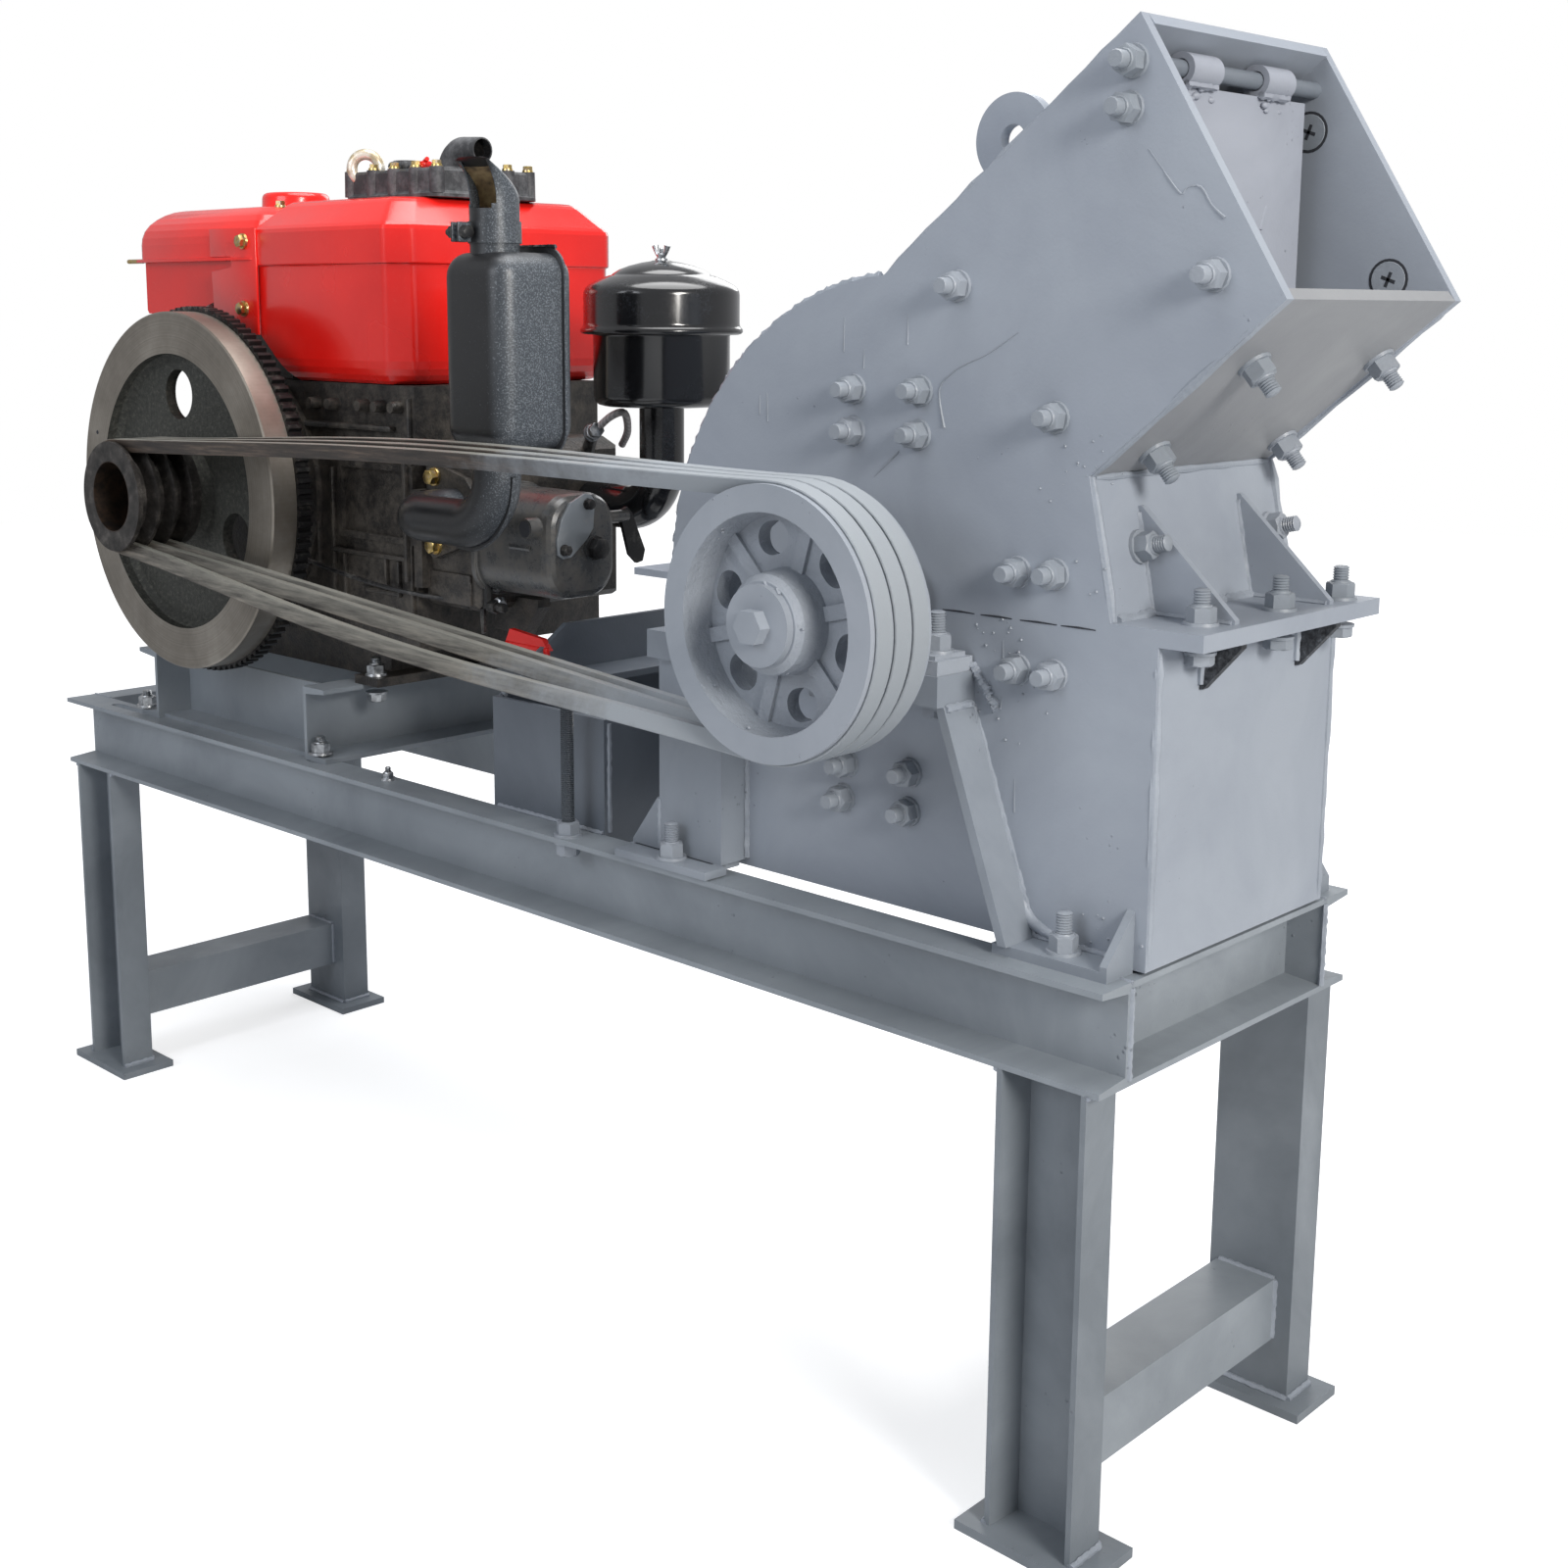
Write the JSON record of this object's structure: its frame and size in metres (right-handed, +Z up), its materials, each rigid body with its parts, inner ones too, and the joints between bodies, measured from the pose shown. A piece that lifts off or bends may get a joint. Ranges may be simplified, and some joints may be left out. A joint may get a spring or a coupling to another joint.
{
  "type": "hammer crusher",
  "caption": "Hammer crusher with a sloping feed chute and hanging flap, belt-driven by a single-cylinder diesel engine with a big flywheel, all on a channel-steel table",
  "frame": {"origin": "On the floor under the middle of the plant's bounding box", "axes": "+X runs from the engine to the feed chute, along the table; -Y is the belt side; +Z is up"},
  "size_m": [2.0068, 0.619, 1.4276],
  "materials": {
    "frame_paint": "satin",
    "crusher_paint": "satin",
    "worn_steel": "rough",
    "dark_steel": "satin",
    "belt_rubber": "matt",
    "engine_iron": "semi-gloss black paint",
    "engine_sheet": "gloss black",
    "red_paint": "gloss",
    "flywheel_iron": "machined and cast"
  },
  "bodies": {
    "plant": {"table_beam_front": "frame_paint", "table_beam_rear": "frame_paint", "table_crossbeams": "frame_paint", "leg_front_left": "frame_paint", "leg_front_right": "frame_paint", "leg_rear_left": "frame_paint", "leg_rear_right": "frame_paint", "leg_braces": "frame_paint", "engine_beams": "frame_paint", "engine_rails": "frame_paint", "centre_box": "frame_paint", "tension_stud": "frame_paint", "base_side_front": "crusher_paint", "base_side_rear": "crusher_paint", "base_ends": "crusher_paint", "split_flanges": "crusher_paint", "top_side_front": "crusher_paint", "top_side_rear": "crusher_paint", "top_shell": "crusher_paint", "chute_floor": "crusher_paint", "top_end_wall": "crusher_paint", "lifting_lug": "crusher_paint", "bearing_support_front": "crusher_paint", "bearing_support_rear": "crusher_paint", "bearings": "crusher_paint", "grate": "worn_steel", "flap_rod": "dark_steel", "drive_belts": "belt_rubber", "engine_block": "engine_iron", "cylinder_head": "engine_iron", "rocker_cover": "engine_iron", "radiator_cover": "engine_iron", "muffler": "engine_sheet", "tail_pipe": "engine_sheet", "exhaust_elbow": "engine_sheet", "air_filter": "engine_sheet", "intake_pipe": "engine_sheet", "fuel_tank": "red_paint", "radiator_hood": "red_paint"},
    "rotor": {"rotor_shaft": "dark_steel", "rotor_discs": "worn_steel", "hammers": "worn_steel", "driven_pulley": "crusher_paint"},
    "crank": {"flywheel": "flywheel_iron", "starter_ring": "dark_steel", "engine_pulley": "dark_steel", "crankshaft": "dark_steel"},
    "flap": {"feed_flap": "crusher_paint"}
  },
  "joints": [
    {"name": "rotor_spin", "type": "hinge", "parent": "plant", "child": "rotor", "pos_m": [0.59762, 0.0665, 0.89], "axis": [0, 1, 0], "continuous": true},
    {"name": "crank_spin", "type": "hinge", "parent": "plant", "child": "crank", "pos_m": [-0.59539, -0.1335, 0.926], "axis": [0, 1, 0], "continuous": true},
    {"name": "flap_swing", "type": "hinge", "parent": "plant", "child": "flap", "pos_m": [0.84762, 0.0705, 1.387], "axis": [0, 1, 0], "range_deg": [-8, 50]}
  ],
  "couplings": [
    {"joint": "crank_spin", "follows": "rotor_spin", "ratio": 1.7808}
  ]
}
